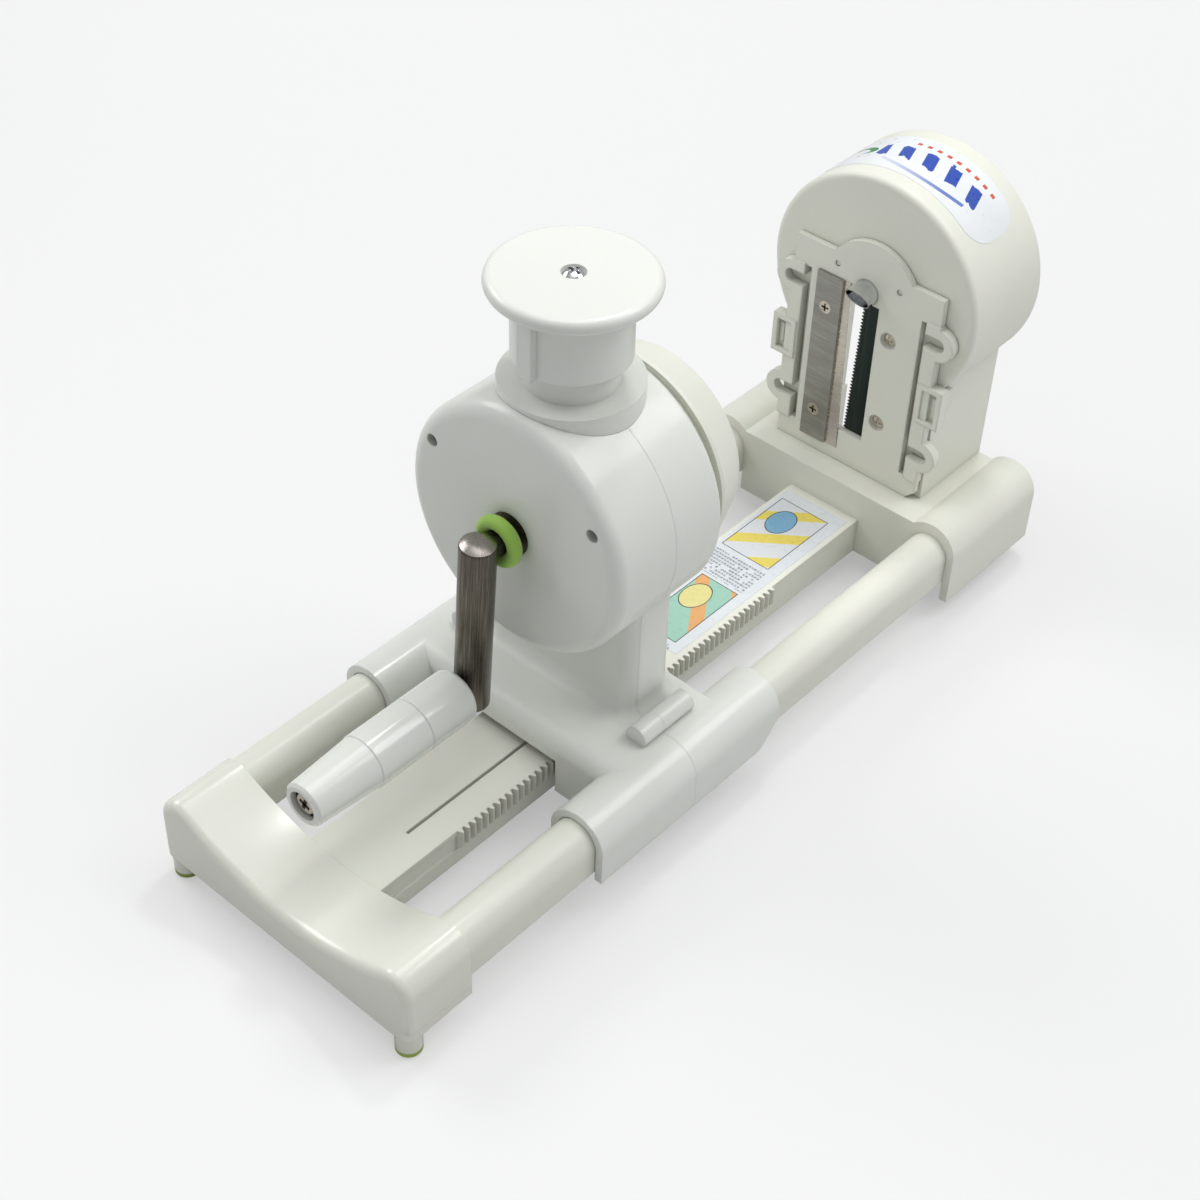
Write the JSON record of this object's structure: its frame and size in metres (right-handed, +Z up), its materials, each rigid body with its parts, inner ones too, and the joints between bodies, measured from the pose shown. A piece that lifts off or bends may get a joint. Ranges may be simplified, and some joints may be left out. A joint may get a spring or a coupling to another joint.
{
  "type": "hand cranked spiralizer",
  "caption": "Hand-cranked vegetable spiralizer: a palm-knob carriage on two rails turns a spiked disc toward a blade plate on a hollow drum tower.",
  "frame": {"origin": "centre of the bounding box on the table, under the rack bar", "axes": "+Z up, +Y from the crank toward the blade tower along the rails, +X toward the rack's teeth"},
  "size_m": [0.146, 0.412, 0.2449],
  "materials": {
    "shell_plastic": "smooth cool off-white moulded plastic",
    "grip_plastic": "glossy off-white moulded plastic",
    "ivory_plastic": "satin warm ivory moulded plastic",
    "soft_green": "soft lime green silicone",
    "printed_sheet": "printed glossy sheet",
    "crank_steel": "dark brushed steel",
    "blade_steel": "ground blade steel",
    "clamp_steel": "brushed dull steel",
    "comb_steel": "dark toothed steel strip",
    "bright_steel": "polished",
    "inner_steel": "turned steel",
    "bush_brass": "dark oiled bronze"
  },
  "bodies": {
    "frame": {"front_block": "shell_plastic", "front_foot_pads": "soft_green", "rear_foot_pads": "soft_green", "left_rail": "ivory_plastic", "right_rail": "ivory_plastic", "centre_rack_bar": "ivory_plastic", "instruction_sticker": "printed_sheet", "rear_block": "ivory_plastic", "blade_tower": "ivory_plastic", "drum_label": "printed_sheet"},
    "blade_plate": {"blade_plate": "ivory_plastic", "flat_blade": "blade_steel", "blade_clamp": "clamp_steel", "comb_blade": "comb_steel", "blade_screws": "bright_steel", "comb_screws": "bright_steel", "coring_tube": "bright_steel"},
    "carriage": {"carriage_front_shell": "shell_plastic", "carriage_rear_shell": "shell_plastic", "knob_turret": "shell_plastic", "shell_screws": "bright_steel", "front_spindle_bush": "bush_brass", "rear_spindle_bush": "bush_brass", "feed_shaft_bushes": "bush_brass"},
    "crank": {"spindle_shaft": "crank_steel", "worm": "inner_steel", "thrust_washers": "inner_steel", "shaft_ring": "soft_green", "crank_arm": "crank_steel", "grip_axle": "inner_steel", "grip_screw": "bright_steel", "spiked_disc": "shell_plastic", "disc_spikes": "bright_steel", "disc_screw": "bright_steel"},
    "grip": {"grip_root": "grip_plastic", "grip_band": "grip_plastic", "grip_end": "grip_plastic"},
    "knob": {"knob_cap": "shell_plastic", "knob_screw": "bright_steel", "plunger_fork": "inner_steel", "knob_spring": "inner_steel"},
    "feed_shaft": {"feed_shaft": "inner_steel", "rack_pinion": "inner_steel"},
    "clutch": {"clutch_sleeve": "inner_steel"},
    "worm_wheel": {"worm_wheel": "bush_brass"}
  },
  "joints": [
    {"name": "carriage_slide", "type": "slide", "parent": "frame", "child": "carriage", "axis": [0, 1, 0], "range_m": [-0.064, 0.108]},
    {"name": "crank_spin", "type": "hinge", "parent": "carriage", "child": "crank", "pos_m": [0, -0.0953, 0.1418], "axis": [0, 1, 0], "continuous": true},
    {"name": "grip_spin", "type": "hinge", "parent": "crank", "child": "grip", "pos_m": [-0.00415, -0.0953, 0.07192], "axis": [0, 1, 0], "continuous": true},
    {"name": "knob_press", "type": "slide", "parent": "carriage", "child": "knob", "axis": [0, 0, -1], "range_m": [0, 0.0064], "stiffness_N_per_m": 800, "springref_m": -0.004, "deforming": ["knob_spring"]},
    {"name": "feed_shaft_turn", "type": "hinge", "parent": "carriage", "child": "feed_shaft", "pos_m": [0.02982, -0.042, 0.1], "axis": [0, 0, 1], "range_deg": [-415, 698]},
    {"name": "clutch_slide", "type": "slide", "parent": "feed_shaft", "child": "clutch", "axis": [0, 0, -1], "range_m": [0, 0.0064]},
    {"name": "worm_wheel_turn", "type": "hinge", "parent": "carriage", "child": "worm_wheel", "pos_m": [0.02982, -0.042, 0.1], "axis": [0, 0, 1], "continuous": true},
    {"name": "blade_plate_pull", "type": "slide", "parent": "frame", "child": "blade_plate", "axis": [0, -1, 0], "range_m": [0, 0.012]}
  ],
  "couplings": [
    {"joint": "feed_shaft_turn", "follows": "carriage_slide", "rad_per_m": 112.2},
    {"joint": "worm_wheel_turn", "follows": "crank_spin", "ratio": 0.035714},
    {"joint": "clutch_slide", "follows": "knob_press", "ratio": 1}
  ]
}
